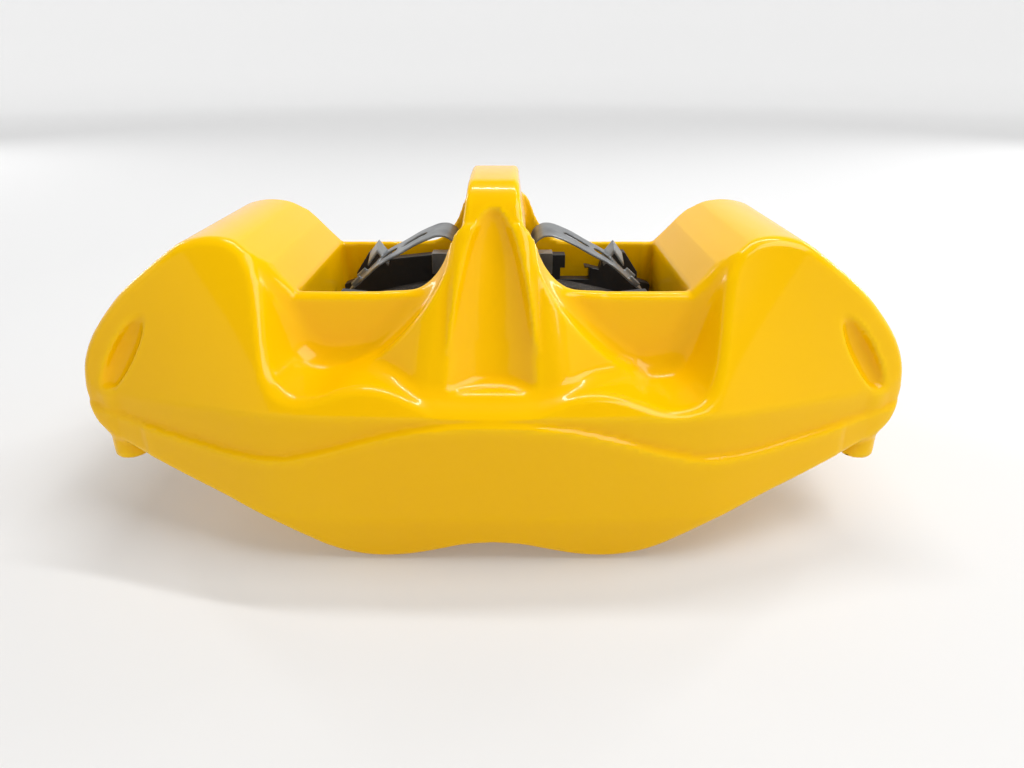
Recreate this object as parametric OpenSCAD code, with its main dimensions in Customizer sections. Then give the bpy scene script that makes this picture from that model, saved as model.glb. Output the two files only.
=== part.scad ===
// Four-piston fixed brake caliper, one-piece body, two pistons on each side of the disc.
// The working frame of the modules is the disc frame: X runs along the caliper, Y across the disc
// with the disc mid-plane at Y = 0, and Z runs radially outward with the window rim at Z = 0.
// shift() moves it to the part frame: origin midway between the two mounting holes, on the lug faces.

/* [Body] */
// half length over the ends, mm
half_length = 144; // [142:0.5:145]
// half depth over the side faces, mm
half_depth = 80; // [78.5:0.5:84]
// height of the end humps over the window rim, mm
hump_top = 19; // [15:0.5:22]
// height of the centre bridge over the window rim, mm
bridge_top = 36; // [32:0.5:40]
// half width of the bridge crown, mm
bridge_half = 8.75; // [7.5:0.25:10]
// half length of the pad window, mm
window_x = 68.6; // [68.2:0.2:70]
// half width of the pad window, mm
window_y = 36; // [35.6:0.1:36.5]
// depth of the scallops under the rim, mm
scallop_depth = 25; // [22:0.5:27]

/* [Disc] */
// radius the arch is cut to, mm
arch_r = 194; // [192:0.5:196]
// distance of the wheel axis under the rim, mm
disc_drop = 199; // [198:0.5:201]
// half width of the disc slot, mm
slot_y = 19; // [18.5:0.5:21]

/* [Pistons] */
// centre of the large pistons along the caliper, mm
large_x = -40; // [-42:0.5:-38]
// centre of the small pistons along the caliper, mm
small_x = 33; // [31:0.5:35]
// bore radius of the large pistons, mm
large_r = 22; // [20:0.5:23]
// bore radius of the small pistons, mm
small_r = 20; // [18:0.5:21]
// depth of the piston axes under the rim, mm
piston_drop = 48; // [47:0.5:49]
// radial clearance of a piston in its bore, mm
piston_gap = 0.05; // [0.03:0.01:0.08]

/* [Mounting] */
// half spacing of the radial mounting holes, mm
mount_x = 121.5; // [120:0.5:122.5]
// distance of the mounting holes from the disc mid-plane, mm
mount_y = 60; // [59:0.5:61]
// distance of the lug faces under the rim, mm
mount_drop = 54; // [52:0.5:56]
// radius of the mounting holes, mm
mount_r = 6.25; // [6.1:0.05:6.6]

/* [Pads] */
// distance of the friction faces from the disc mid-plane, mm
pad_face = 17; // [16.5:0.5:18]
// thickness of the friction blocks, mm
friction_t = 10; // [8:0.5:11]
// thickness of the backing plates, mm
plate_t = 5.5; // [5:0.25:6]
// thickness of the damping shims, mm
shim_t = 0.7; // [0.5:0.1:0.9]

/* [Hidden] */
$fn = 96;
bore_end = 66;
boot_depth = 3.5;
boot_wall = 3;
seal_at = 47;
seal_w = 4;
seal_wall = 3.4;
gallery_y = 60;
gallery_r = 2;
gallery_drop = 43;
feed_r = 1.6;
riser_x = 106;
piston_nose = pad_face + friction_t + plate_t + shim_t + 0.05;
piston_tail = 57.5;
piston_wall = 5;
plate_in = pad_face + friction_t;
plate_out = plate_in + plate_t;
pad_outer_r = disc_drop - 9;
plate_outer_r = disc_drop - 4.5;
fold_z = -3.2;
pad_inner_r = disc_drop - 70;
pad_half = window_x - 1.8;
guide_t = 0.9;
guide_top = -22;
guide_screw_z = -30;
guide_screw_y = 29;
ledge_z = -60;
ledge_w = 5;
spring_half = 11.4;
spring_t = 1.1;
under_bridge = 14;
bleed_x = 97;
bleed_y = 56;
bleed_seat = -30;
bleed_face = -12;
inlet_r = 4.5;
inlet_depth = 13;
plug_r = 3.8;
plug_h = 5;
boss_r = 6;
boss_x = 131.5;
boss_y = 50;
boss_drop = 58;
lug_r = 13;
scoop_r = 6.8;
spot_z = -32;
big = 400;
eps = 0.01;

BORES = [["large", large_x, large_r], ["small", small_x, small_r]];
SIDES = [["outboard", -1], ["inboard", 1]];
ENDS = [["left", -1], ["right", 1]];

// ---- placing -------------------------------------------------------------------------------

module shift() {
    translate([0, -mount_y, mount_drop]) children();
}

// a profile drawn in X and Z, extruded between two distances from the mid-plane on one side
module across(side, from, to) {
    y0 = side > 0 ? to : -from;
    translate([0, y0, 0]) rotate([90, 0, 0]) linear_extrude(to - from) children();
}

// a profile drawn in X and Z, extruded over the whole depth
module full_depth() {
    rotate([90, 0, 0]) linear_extrude(2 * half_depth + 20, center = true) children();
}

// a profile drawn in Y and Z, extruded over a length centred on X = 0
module along(length) {
    rotate([90, 0, 90]) linear_extrude(length, center = true) children();
}

// a cylinder with its axis along Y, on one side of the disc
module y_cylinder(side, x, z, r, from, to) {
    y0 = side > 0 ? to : -from;
    translate([x, y0, z]) rotate([90, 0, 0]) cylinder(h = to - from, r = r);
}

// a drilling of radius r from point a to point b
module drilling(a, b, r) {
    d = b - a;
    length = norm(d);
    turn = atan2(d[1], d[0]);
    tip = acos(d[2] / length);
    translate(a) rotate([0, tip, turn]) cylinder(h = length, r = r, $fn = 32);
}

// ---- body ----------------------------------------------------------------------------------

function mirrored(points) = concat(
    points,
    [for (i = [len(points) - 1:-1:0]) if (points[i][0] > 0) [-points[i][0], points[i][1]]]
);

// upper outline of the ends, from the window rim out to the end face and in along the underside
HALF_FRONT = [
    [0, 0], [window_x, 0], [window_x + 18, hump_top - 2], [window_x + 23, hump_top],
    [99, hump_top], [109, hump_top - 3.5], [118, 9], [127, 1.7], [134, -6], [139.5, -14],
    [half_length - 1.3, -21.5], [half_length, -29], [half_length - 0.4, -36], [half_length - 3.3, -42.5],
    [135.3, -46.9],
    [121, -52], [106, -57.5], [90, -63], [71, -73], [56, -80.5], [47, -83.6], [36, -84.9], [24, -84], [12, -80.3],
    [0, -78.5]
];

module front_outline() {
    polygon(mirrored(HALF_FRONT));
}

// one quarter of the plan: flat middle panel, angled wing, rounded end corner
QUARTER_PLAN = [
    [0, half_depth], [45, half_depth - 0.3], [62, half_depth - 1.1], [73, half_depth - 2.6],
    [83, half_depth - 5.2], [112, half_depth - 15.2], [131, half_depth - 22], [half_length - 6.5, 56],
    [half_length - 2, 52.5], [half_length, 47]
];

module plan_outline() {
    far_side = concat(
        QUARTER_PLAN,
        [for (i = [len(QUARTER_PLAN) - 1:-1:0]) [QUARTER_PLAN[i][0], -QUARTER_PLAN[i][1]]]
    );
    polygon(mirrored(far_side));
}

HALF_SIDE = [
    [0, hump_top + 2], [34, hump_top + 2], [38, hump_top], [50, 5], [60, -9], [70, -20.5],
    [76, -26], [78, -29], [78, -32.5], [half_depth, -35.5], [half_depth, -62], [78.5, -66],
    [73, -78], [66, -84], [56, -88], [0, -88]
];

module side_outline() {
    polygon(mirrored(HALF_SIDE));
}

module shell() {
    intersection() {
        full_depth() front_outline();
        along(2 * half_length + 2) side_outline();
        translate([0, 0, -100]) linear_extrude(140) plan_outline();
    }
}

// hollow between the window wall and the side face, on one side of the disc
module scallop(side) {
    across(side, window_y + 5, half_depth + 20) polygon([
        [-76, 5], [-75.5, 0], [-69, -17], [-64, -23], [-56, -scallop_depth],
        [56, -scallop_depth], [64, -23], [69, -17], [75.5, 0], [76, 5]
    ]);
}

BRIDGE_SIDE = [
    [0, bridge_top + 0.5], [12, bridge_top + 0.1], [20, bridge_top - 0.8], [25, bridge_top - 2], [29, bridge_top - 6],
    [half_depth - 2, -25], [half_depth - 2, -40], [window_y, -40],
    [window_y, under_bridge - 8], [window_y - 6, under_bridge], [0, under_bridge]
];

module bridge() {
    intersection() {
        along(2 * window_x) polygon(mirrored(BRIDGE_SIDE));
        full_depth() polygon([
            [-bridge_half, bridge_top + 2], [bridge_half, bridge_top + 2], [12.2, 14], [12.8, 5], [-12.8, 5], [-12.2, 14]
        ]);
    }
}

// foot of the bridge, widening down to the scallop floor, on one side of the disc
module buttress(side) {
    intersection() {
        along(2 * window_x) polygon(mirrored(BRIDGE_SIDE));
        across(side, window_y, half_depth) polygon([
            [-bridge_half, bridge_top + 2], [bridge_half, bridge_top + 2], [12, 20], [16.5, 10], [28, -8],
            [43, -27], [43, -40], [-43, -40], [-43, -27], [-28, -8], [-16.5, 10], [-12, 20]
        ]);
    }
}

// tapering flute down the front of the bridge, on one side of the disc
module flute(side) {
    rise = 54;
    run = 50;
    length = norm([rise, run]);
    lean = atan2(run, rise);
    translate([0, side * 31, 27]) rotate([side * -(180 - lean), 0, 0])
        cylinder(h = length * 1.15, r1 = 0, r2 = 15 * 1.15);
}

// mounting lug on the inboard side, slimmer gallery boss on the outboard side
module lug(side, end) {
    if (side > 0) translate([end * mount_x, mount_y, -mount_drop]) cylinder(h = mount_drop - 30, r = lug_r);
    else translate([end * boss_x, -boss_y, -boss_drop]) cylinder(h = boss_drop - 30, r = boss_r);
}

// leaning ball-ended relief in an outboard corner, or the bolt access over an inboard lug
module scoop(side, end) {
    if (side > 0) translate([end * mount_x, mount_y + 1, spot_z]) cylinder(h = 80, r = 10.5);
    else {
        drilling([end * 132, -58.5, -26], [end * 113, -53.5, 9], scoop_r);
        translate([end * 132, -58.5, -26]) sphere(r = scoop_r + 0.4);
    }
}

module bore(side, x, r) {
    y_cylinder(side, x, -piston_drop, r, window_y - 2, bore_end);
    y_cylinder(side, x, -piston_drop, r + boot_wall, window_y - 2, window_y + boot_depth);
    y_cylinder(side, x, -piston_drop, r + seal_wall, seal_at, seal_at + seal_w);
}

module galleries(side) {
    drilling([-102, side * gallery_y, -gallery_drop], [riser_x + 4, side * gallery_y, -gallery_drop], gallery_r);
    drilling([riser_x, side * gallery_y, -gallery_drop], [riser_x, side * 50, -22], feed_r);
}

module body() color("#E8B400") shift() {
    difference() {
        union() {
            difference() {
                union() {
                    shell();
                    for (side = [-1, 1], end = [-1, 1]) lug(side, end);
                }
                for (side = [-1, 1]) scallop(side);
                translate([-window_x, -window_y, ledge_z]) cube([2 * window_x, 2 * window_y, 100]);
                translate([-window_x + ledge_w, -window_y, -120]) cube([2 * (window_x - ledge_w), 2 * window_y, 120]);
                translate([0, slot_y, -disc_drop]) rotate([90, 0, 0]) cylinder(h = 2 * slot_y, r = arch_r, $fn = 240);
            }
            intersection() {
                shell();
                for (side = [-1, 1], b = BORES) y_cylinder(side, b[1], -piston_drop, 28, window_y, half_depth);
            }
            bridge();
            for (side = [-1, 1]) buttress(side);
        }
        for (side = [-1, 1]) flute(side);
        for (side = [-1, 1], end = [-1, 1]) scoop(side, end);
        for (side = [-1, 1], b = BORES) bore(side, b[1], b[2]);
        for (side = [-1, 1]) galleries(side);
        drilling([riser_x, -54, -22], [riser_x, 54, -22], gallery_r);
        for (end = [-1, 1]) {
            translate([end * mount_x, mount_y, -mount_drop - 1]) cylinder(h = 60, r = mount_r);
            translate([end * boss_x, -boss_y, -boss_drop - 1]) cylinder(h = plug_h + 1, r = plug_r);
            translate([end * boss_x, -boss_y, -boss_drop]) cylinder(h = boss_drop - gallery_drop + 2, r = 2.2);
            drilling([end * boss_x, -boss_y, -gallery_drop], [end * 98, -gallery_y, -gallery_drop], feed_r);
            translate([end * bleed_x, bleed_y, bleed_face]) cylinder(h = 40, r = 9);
            translate([end * bleed_x, bleed_y, bleed_seat]) cylinder(h = 30, r = 4);
            drilling([end * bleed_x, bleed_y, bleed_seat + 1], [end * bleed_x, gallery_y, -gallery_drop], 1.5);
        }
        y_cylinder(1, 0, -piston_drop, 8.5, half_depth - 1, half_depth + 5);
        y_cylinder(1, 0, -piston_drop, inlet_r, half_depth - 1 - inlet_depth, half_depth + 5);
        drilling([0, bore_end + 2, -piston_drop], [0, gallery_y, -gallery_drop], feed_r);
        for (x = [-1, 1] * clamp_pitch / 2) translate([0, x, under_bridge - 1]) cylinder(h = 9, r = 2.1);
        for (side = [-1, 1], end = [-1, 1]) guide_screw_hole(side, end);
    }
}

clamp_pitch = 26;

module guide_screw_hole(side, end) {
    translate([end * (window_x - 1), side * guide_screw_y, guide_screw_z]) rotate([0, end * 90, 0])
        cylinder(h = 10, r = 2);
    translate([end * (window_x - guide_t), side * guide_screw_y, guide_screw_z]) rotate([0, end * 90, 0])
        countersink();
}

module countersink() {
    translate([0, 0, -0.5]) cylinder(h = 0.5, r = 3.2);
    cylinder(h = 1.2, r1 = 3.2, r2 = 2);
}

// ---- hydraulics ----------------------------------------------------------------------------

module piston(side, x, r) color("#C9CCD0") shift() difference() {
    pr = r - piston_gap;
    y_cylinder(side, x, -piston_drop, pr, piston_nose, piston_tail);
    y_cylinder(side, x, -piston_drop, pr - piston_wall, piston_nose - 1, piston_tail - 7);
    difference() {
        y_cylinder(side, x, -piston_drop, pr + 2, piston_nose + 1.2, piston_nose + 2.4);
        y_cylinder(side, x, -piston_drop, pr - 1.4, piston_nose, piston_nose + 3);
    }
}

module ring(side, x, inner, outer, from, to) difference() {
    y_cylinder(side, x, -piston_drop, outer, from, to);
    y_cylinder(side, x, -piston_drop, inner, from - 1, to + 1);
}

module seal(side, x, r) color("#20262B") shift() ring(side, x, r, r + seal_wall, seal_at, seal_at + seal_w);

module boot(side, x, r) color("#17191B") shift() {
    ring(side, x, r, r + boot_wall, window_y + 0.4, window_y + boot_depth);
}

module bleed_screw(end) color("#B9A15A") shift() translate([end * bleed_x, bleed_y, 0]) difference() {
    union() {
        translate([0, 0, bleed_seat]) cylinder(h = 3, r1 = 2, r2 = 3.95);
        translate([0, 0, bleed_seat + 3]) cylinder(h = bleed_face - bleed_seat - 3, r = 3.95);
        translate([0, 0, bleed_face]) cylinder(h = 1, r = 3.6);
        translate([0, 0, bleed_face + 1]) cylinder(h = 6, r = 5.77, $fn = 6);
        translate([0, 0, bleed_face + 7]) cylinder(h = 6, r = 2.6);
        translate([0, 0, bleed_face + 13]) cylinder(h = 2, r = 3.4);
    }
    translate([0, 0, bleed_seat + 6]) cylinder(h = 40, r = 1);
}

module bleed_cap(end) color("#141516") shift() translate([end * bleed_x, bleed_y, 0]) difference() {
    union() {
        translate([0, 0, bleed_face + 7.4]) cylinder(h = 1.6, r = 5.6);
        translate([0, 0, bleed_face + 9]) cylinder(h = 9, r = 5);
        translate([0, 0, bleed_face + 18]) cylinder(h = 2, r1 = 5, r2 = 3.6);
    }
    translate([0, 0, bleed_face + 7]) cylinder(h = 9, r = 3.7);
}

module gallery_plug(end) color("#9EA3A8") shift() {
    translate([end * boss_x, -boss_y, -boss_drop]) difference() {
        cylinder(h = plug_h, r = plug_r);
        translate([0, 0, -1]) cylinder(h = 4, r = 2.3, $fn = 6);
    }
}

// ---- pads ----------------------------------------------------------------------------------

module sector(inner, outer, half, low) intersection() {
    difference() {
        translate([0, -disc_drop]) circle(r = outer, $fn = 240);
        translate([0, -disc_drop]) circle(r = inner, $fn = 240);
    }
    translate([-half, low]) square([2 * half, 100]);
}

// horn the spring bears against, one at each end of a backing plate
HORN = [[41, -30], [61, -30], [61, -11], [55, -2], [46, -3], [42, -18]];

// flat top of a backing plate under the shim's fold
PLATE_TOP = [[-46, -20], [29.5, -20], [29.5, fold_z], [-28, fold_z], [-46, -5]];

module plate_outline() difference() {
    union() {
        sector(pad_inner_r, plate_outer_r, pad_half - ledge_w, -74);
        polygon(PLATE_TOP);
        intersection() {
            sector(pad_inner_r, plate_outer_r, pad_half, ledge_z + 0.3);
            translate([-pad_half, ledge_z + 0.3]) square([2 * pad_half, 60]);
        }
        polygon(HORN);
        polygon([for (i = [len(HORN) - 1:-1:0]) [-HORN[i][0], HORN[i][1]]]);
    }
    translate([29.5, -13]) square([8.5, 12]);
    translate([27.5, -14]) square([12.5, 5]);
}

module backing_plate(side) color("#17181A") shift() across(side, plate_in, plate_out) plate_outline();

module friction_block(side) color("#4A4744") shift() across(side, pad_face, plate_in) difference() {
    sector(pad_inner_r + 5, pad_outer_r - 3, 59, -76);
    translate([-3.5 - 1.2, -100]) square([2.4, 100]);
    for (end = [-1, 1]) translate([end * 59, -16]) rotate(end * 45) square([9, 9], center = true);
}

// sheet behind the backing plate, folded over its top edge
module shim(side) color("#B4B7BA") shift() {
    across(side, plate_out, plate_out + shim_t) union() {
        sector(pad_inner_r + 4, pad_outer_r - 5, 56, -72);
        translate([-28, -30]) square([52, 30 + fold_z + shim_t]);
    }
    across(side, plate_in - shim_t, plate_out + shim_t) translate([-28, fold_z]) square([52, shim_t]);
    across(side, plate_in - shim_t, plate_in) translate([-28, fold_z - 8.3]) square([52, 8.3 + shim_t]);
}

// ---- springs -------------------------------------------------------------------------------

// centre line of a pad spring in X and Z, from its foot under the bridge to its tip
SPRING_ARC = [for (a = [180:-15:60]) [20.2 + 6 * cos(a), 7.6 + 6 * sin(a)]];
SPRING_LINE = concat(
    [[2, 10.9], [8, 10.9], [11, 9.6], [13, 6.8], [14, 6.5]],
    [[14.3, 7.4]],
    [for (i = [1:len(SPRING_ARC) - 1]) SPRING_ARC[i]],
    [[28, 11.2], [36, 6.8], [44, 2.4], [50, -3], [55, -8.2]]
);

function unit(v) = v / norm(v);
function normal_at(p, i) =
    let (a = p[max(i - 1, 0)], b = p[min(i + 1, len(p) - 1)], d = unit(b - a)) [-d[1], d[0]];
function band(p, t) = concat(
    [for (i = [0:len(p) - 1]) p[i] + normal_at(p, i) * t / 2],
    [for (i = [len(p) - 1:-1:0]) p[i] - normal_at(p, i) * t / 2]
);

module pad_spring(end) color("#5A5E62") shift() mirror([end < 0 ? 1 : 0, 0, 0]) {
    difference() {
        rotate([90, 0, 0]) linear_extrude(2 * spring_half, center = true) polygon(band(SPRING_LINE, spring_t));
        translate([28, -3.5, -5]) cube([12, 7, 30]);
        translate([43, -3.5, -15]) cube([7, 7, 30]);
        for (side = [-1, 1]) translate([52.5, side * 10, -20]) cube([10, 8, 30], center = false);
        for (side = [-1, 1]) translate([5.5, side * clamp_pitch / 2, 5]) cylinder(h = 10, r = 2.3);
    }
    translate([0, spring_half - spring_t, 0]) rotate([90, 0, 0]) translate([0, 0, -spring_t])
        linear_extrude(spring_t) polygon([[43, 2.4], [47.5, 6.4], [50, -2.6], [47, -0.8]]);
}

module spring_clamp() color("#A9ADB1") shift() difference() {
    translate([-7, -17, 8]) cube([14, 34, 2.3]);
    for (side = [-1, 1]) translate([0, side * clamp_pitch / 2, 5]) cylinder(h = 10, r = 2.3);
}

module clamp_screws() color("#84888C") shift() for (side = [-1, 1]) {
    translate([0, side * clamp_pitch / 2, 0]) difference() {
        union() {
            translate([0, 0, 5]) cylinder(h = 3, r = 3.6);
            translate([0, 0, 8]) cylinder(h = 13, r = 2.05);
        }
        translate([0, 0, 4]) cylinder(h = 2.8, r = 1.7, $fn = 6);
    }
}

module pad_guide(side, end) color("#C3C6C9") shift() difference() {
    across(side, slot_y + 0.4, window_y) polygon([
        [end * window_x, guide_top], [end * (window_x - guide_t), guide_top],
        [end * (window_x - guide_t), ledge_z], [end * window_x, ledge_z]
    ]);
    guide_screw_hole(side, end);
}

module guide_screws() color("#84888C") shift() for (side = [-1, 1], end = [-1, 1]) {
    translate([end * (window_x - guide_t), side * guide_screw_y, guide_screw_z]) rotate([0, end * 90, 0]) {
        cylinder(h = 1.2, r1 = 3.1, r2 = 1.95);
        cylinder(h = 8, r = 1.95);
    }
}

// ---- nodes ---------------------------------------------------------------------------------

body();
for (s = SIDES, b = BORES) {
    piston(s[1], b[1], b[2]);
    seal(s[1], b[1], b[2]);
    boot(s[1], b[1], b[2]);
}
for (s = SIDES) {
    backing_plate(s[1]);
    friction_block(s[1]);
    shim(s[1]);
}
for (e = ENDS) {
    pad_spring(e[1]);
    bleed_screw(e[1]);
    bleed_cap(e[1]);
    gallery_plug(e[1]);
}
for (s = SIDES, e = ENDS) {
    pad_guide(s[1], e[1]);
}
spring_clamp();
clamp_screws();
guide_screws();
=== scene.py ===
import math
import bmesh
import bpy
import numpy as np
from mathutils import Matrix, Vector


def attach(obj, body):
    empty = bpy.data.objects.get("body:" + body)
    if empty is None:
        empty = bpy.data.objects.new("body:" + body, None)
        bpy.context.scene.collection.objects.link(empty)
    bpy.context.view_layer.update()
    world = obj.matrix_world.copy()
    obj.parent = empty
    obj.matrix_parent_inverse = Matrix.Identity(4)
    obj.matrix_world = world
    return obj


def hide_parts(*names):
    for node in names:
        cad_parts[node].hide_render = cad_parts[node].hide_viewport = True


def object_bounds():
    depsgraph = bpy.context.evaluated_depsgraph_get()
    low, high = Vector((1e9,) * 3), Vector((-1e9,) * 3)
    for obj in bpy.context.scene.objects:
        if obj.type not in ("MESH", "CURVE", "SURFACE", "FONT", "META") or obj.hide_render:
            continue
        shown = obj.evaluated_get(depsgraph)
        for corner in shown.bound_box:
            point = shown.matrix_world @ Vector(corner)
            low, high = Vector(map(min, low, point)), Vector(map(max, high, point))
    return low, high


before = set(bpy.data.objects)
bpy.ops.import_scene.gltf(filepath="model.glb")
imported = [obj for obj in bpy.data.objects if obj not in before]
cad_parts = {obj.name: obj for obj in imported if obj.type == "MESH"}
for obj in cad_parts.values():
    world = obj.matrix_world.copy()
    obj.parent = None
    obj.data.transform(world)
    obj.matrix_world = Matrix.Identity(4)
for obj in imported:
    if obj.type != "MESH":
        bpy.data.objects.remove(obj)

CAD_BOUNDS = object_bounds()

# ------------------------------------------------------------------ disc frame, in mm
# X along the caliper, Y across the disc with the mid-plane at 0, Z outward with the window rim at 0
RIM = 54.0      # height of the window rim above the mounting faces
MID = -60.0     # mid-plane of the disc from the mounting holes
VOXEL = 1.4       # grid step of the body's surface


def to_row(p):
    """Disc frame in mm to the part's frame in metres."""
    return (np.asarray(p, float) + (0.0, MID, RIM)) * 0.001


# ------------------------------------------------------------------ distance fields
def spline(points, n=6):
    """A smooth open line through the points."""
    p = np.asarray(points, float)
    p = np.vstack([2 * p[0] - p[1], p, 2 * p[-1] - p[-2]])
    out = []
    for i in range(1, len(p) - 2):
        a, b, c, d = p[i - 1:i + 3]
        for t in np.linspace(0, 1, n, endpoint=False):
            bend = 2 * a - 5 * b + 4 * c - d
            twist = 3 * b - a - 3 * c + d
            out.append(0.5 * (2 * b + (c - a) * t + bend * t * t + twist * t ** 3))
    return [tuple(q) for q in out] + [tuple(p[-2])]


def poly(u, v, pts):
    """Signed distance to a closed outline, negative inside."""
    pts = np.asarray(pts, float)
    u, v = np.broadcast_arrays(u, v)
    d = np.full(u.shape, 1e9)
    s = np.ones(u.shape)
    for i in range(len(pts)):
        ax, ay = pts[i]
        bx, by = pts[i - 1]
        ex, ey = bx - ax, by - ay
        wx, wy = u - ax, v - ay
        h = np.clip((wx * ex + wy * ey) / (ex * ex + ey * ey + 1e-12), 0, 1)
        qx, qy = wx - ex * h, wy - ey * h
        d = np.minimum(d, qx * qx + qy * qy)
        c1, c2, c3 = v >= ay, v < by, ex * wy > ey * wx
        s = np.where((c1 & c2 & c3) | (~c1 & ~c2 & ~c3), -s, s)
    return s * np.sqrt(d)


class Outline:
    """Distance to a drawn outline, worked out once on a fine grid and read back smoothly."""

    STEP = 0.8

    def __init__(self, pts, lo=(-152, -98), hi=(152, 72)):
        self.lo = np.array(lo, float)
        self.n = ((np.array(hi) - self.lo) / self.STEP).astype(int) + 1
        u = self.lo[0] + np.arange(self.n[0])[:, None] * self.STEP
        v = self.lo[1] + np.arange(self.n[1])[None, :] * self.STEP
        self.grid = poly(u, v, pts)

    def __call__(self, u, v):
        a = np.clip((u - self.lo[0]) / self.STEP, 1, self.n[0] - 2.001)
        b = np.clip((v - self.lo[1]) / self.STEP, 1, self.n[1] - 2.001)
        i, j = np.floor(a).astype(int), np.floor(b).astype(int)
        wa, wb = weights(a - i), weights(b - j)
        out = 0.0
        for p in range(4):
            row = 0.0
            for q in range(4):
                row = row + wb[q] * self.grid[i + p - 1, j + q - 1]
            out = out + wa[p] * row
        return out


def weights(t):
    """Shares of four neighbours in a smooth reading between the middle two."""
    t2, t3 = t * t, t * t * t
    return (-t + 2 * t2 - t3) / 2, (2 - 5 * t2 + 3 * t3) / 2, (t + 4 * t2 - 3 * t3) / 2, (t3 - t2) / 2


def both(a, b, r):
    """Common part of two fields, the edge rounded to radius r."""
    m = np.maximum(a, b)
    if r <= 0:
        return m
    ua, ub = np.maximum(a + r, 0), np.maximum(b + r, 0)
    return np.minimum(m, -r) + np.sqrt(ua * ua + ub * ub)


def join(a, b, r):
    """Both fields together, the inner corner filled to radius r."""
    return -both(-a, -b, r)


def cut(a, b, r):
    """a without b, the edge rounded to radius r."""
    return both(a, -b, r)


def rod(x, z, cx, cz):
    """Distance from an axis at (cx, cz)."""
    return np.sqrt((x - cx) ** 2 + (z - cz) ** 2)


def slab(z, lo, hi):
    """Space between two heights."""
    return np.maximum(lo - z, z - hi)


def box2(u, v, cu, cv, hu, hv, r=0.0):
    """Rectangle about (cu, cv) with half sizes hu and hv and corners of radius r."""
    qu, qv = np.abs(u - cu) - hu + r, np.abs(v - cv) - hv + r
    return np.sqrt(np.maximum(qu, 0) ** 2 + np.maximum(qv, 0) ** 2) + np.minimum(np.maximum(qu, qv), 0) - r


def hexagon(u, v, half):
    """Hexagon, half its size across flats given."""
    u, v = np.abs(u), np.abs(v)
    return np.maximum(u * 0.8660254 + v * 0.5, v) - half


def lens(x, y, z, middle, along, out, size):
    """Long egg-shaped hollow; size is its half length, half width and depth."""
    along = np.array(along) / np.linalg.norm(along)
    out = np.array(out) - np.dot(out, along) * along
    out /= np.linalg.norm(out)
    across = np.cross(along, out)
    p = (x - middle[0], y - middle[1], z - middle[2])
    q = [(p[0] * v[0] + p[1] * v[1] + p[2] * v[2]) / r for v, r in zip((along, across, out), size)]
    return (np.sqrt(q[0] ** 2 + q[1] ** 2 + q[2] ** 2) - 1) * size[2]


def two_sided(half):
    """Closed outline from its right half, which runs down from the middle."""
    half = [tuple(p) for p in half]
    return half + [(-x, z) for x, z in reversed(half) if x > 0]


# ------------------------------------------------------------------ driving sizes
# piston bores, large and small: place along the caliper, radius, radius of the wall around it
BORES = ((-40.0, 22.0, 25.4), (33.0, 20.0, 23.8))
PISTON_Z = -48.0                                # axis of the pistons
BORE_MOUTH, BORE_END = 34.0, 66.0               # open and blind ends of the bores, from the disc's middle
BOOT_RING, BOOT_END = 3.0, 39.5                 # wider ring at the mouth, for the dust boot
DISC_DROP, ARCH_R = 199.0, 194.0                # drop to the wheel's axle, radius of the slot for the disc
SLOT_Y = 19.0                                   # half width of that slot
WINDOW_X, WINDOW_Y, WINDOW_Z = 68.6, 36.0, -60.0        # half size of the pad windows, and their lower end
SADDLE_X = 63.6                                 # half length of the space below them
BRIDGE_X, BRIDGE_Z, BRIDGE_UNDER = 8.75, 36.0, 14.0     # bridge: half width and height of its top, underside
MOUNT_X, MOUNT_Y, MOUNT_R = 121.5, 60.0, 6.25   # mounting holes
LUG_R, BOLT_SEAT = 13.0, -32.0                  # lugs round them, and the height of their tops
BLEED_X, BLEED_Y, BLEED_SEAT = 97.0, 56.0, -12.0        # bleed screws, and the height of their seats
BOSS_X, BOSS_Y, BOSS_R, BOSS_END = 131.5, -50.0, 5.9, -57.0     # gallery bosses, and their lower ends
INLET_R, INLET_SEAT_R, INLET_SEAT = 4.5, 8.8, 79.0      # fluid inlet, and its flat on the inboard face
SCREW_Y = 13.0                                  # screws of the spring clamp
LEDGE_STEP, LEDGE_HEIGHT = 2.1, 2.6             # ledge along the side faces
TAPER, TAPER_Z = 0.22, -65.0                    # slope of the side faces near the underside
LEAN_Y, LEAN_Z, LEAN_FOOT = 38.0, 19.0, -30.0   # where the leaning faces end above, and their foot

# outline of the ends and the underside, seen along Y, from the hump down to the middle
AROUND = spline([(85.4, 15.7), (88.4, 17.6), (92.6, 18.75), (98, 19.0), (104, 18.0), (109, 15.9),
                 (118, 9.2), (127, 1.8), (134, -6), (139.6, -14), (142.7, -21.5), (144, -29), (143.4, -36),
                 (140.4, -42.6), (135.4, -46.8), (128, -49.9), (121, -52.4), (106, -57.8), (90, -63.4),
                 (76, -69.6), (66, -75.2), (57, -80.4), (49, -83.4), (40, -84.8), (30, -84.2), (20, -82),
                 (10, -79.4), (0, -78.4)])
# outline through the windows, level with their rim, then up the hump
INNER = Outline(two_sided([(0, 0.001), (WINDOW_X, 0), (77.5, 8.4)] + AROUND))
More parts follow.
